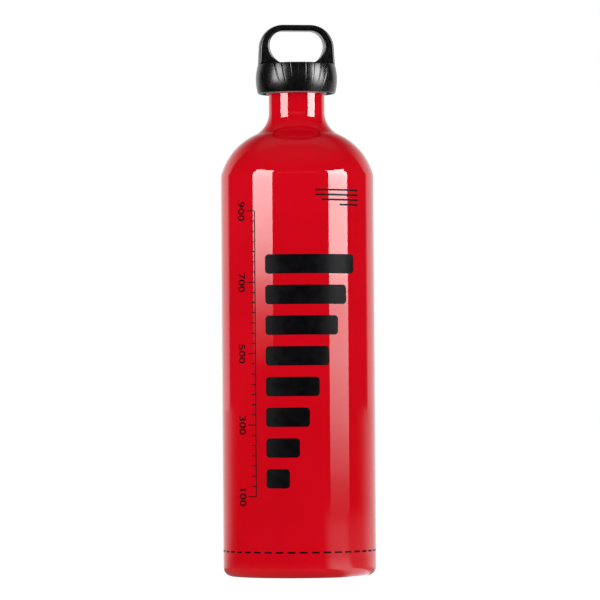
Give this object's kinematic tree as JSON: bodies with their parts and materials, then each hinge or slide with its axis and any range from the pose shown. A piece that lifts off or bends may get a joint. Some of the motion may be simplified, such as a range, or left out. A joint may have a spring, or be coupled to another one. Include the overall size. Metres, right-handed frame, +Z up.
{
  "type": "camping fuel bottle",
  "caption": "Slim round aluminium fuel bottle with a domed shoulder, a narrow neck and a black push-and-turn screw cap with a flat carry loop.",
  "frame": {"origin": "centre of the flat ring that the bottle stands on, in the plane of the floor", "axes": "+Z up the bottle's axis to the cap; the flat carry loop lies in the X-Z plane and its opening faces along Y"},
  "size_m": [0.076, 0.076, 0.274],
  "materials": {
    "red_coat": "glossy red coating over drawn aluminium",
    "seal_rubber": "smooth black nitrile",
    "stopper_plastic": "moulded, semi-matt, light grey",
    "spring_steel": "bare spring strip",
    "cap_plastic": "moulded black nylon, glossy"
  },
  "bodies": {
    "bottle": {"bottle": "red_coat"},
    "seal": {"seal_ring": "seal_rubber"},
    "stopper": {"stopper": "stopper_plastic"},
    "spring": {"wave_spring": "spring_steel"},
    "cap": {"cap_shell": "cap_plastic"}
  },
  "joints": [
    {"name": "cap_rise", "type": "slide", "parent": "bottle", "child": "seal", "axis": [0, 0, 1], "range_m": [0, 0.01225]},
    {"name": "cap_turn", "type": "hinge", "parent": "seal", "child": "stopper", "pos_m": [0, 0, 0.2449], "axis": [0, 0, 1], "range_deg": [0, 1260]},
    {"name": "shell_freewheel", "type": "hinge", "parent": "stopper", "child": "spring", "pos_m": [0, 0, 0.2449], "axis": [0, 0, 1], "continuous": true},
    {"name": "shell_push", "type": "slide", "parent": "spring", "child": "cap", "axis": [0, 0, -1], "range_m": [0, 0.0018], "stiffness_N_per_m": 11000, "springref_m": -0.00045, "deforming": ["wave_spring"]}
  ],
  "couplings": [
    {"joint": "cap_rise", "follows": "cap_turn", "m_per_rad": 0.00055704}
  ]
}
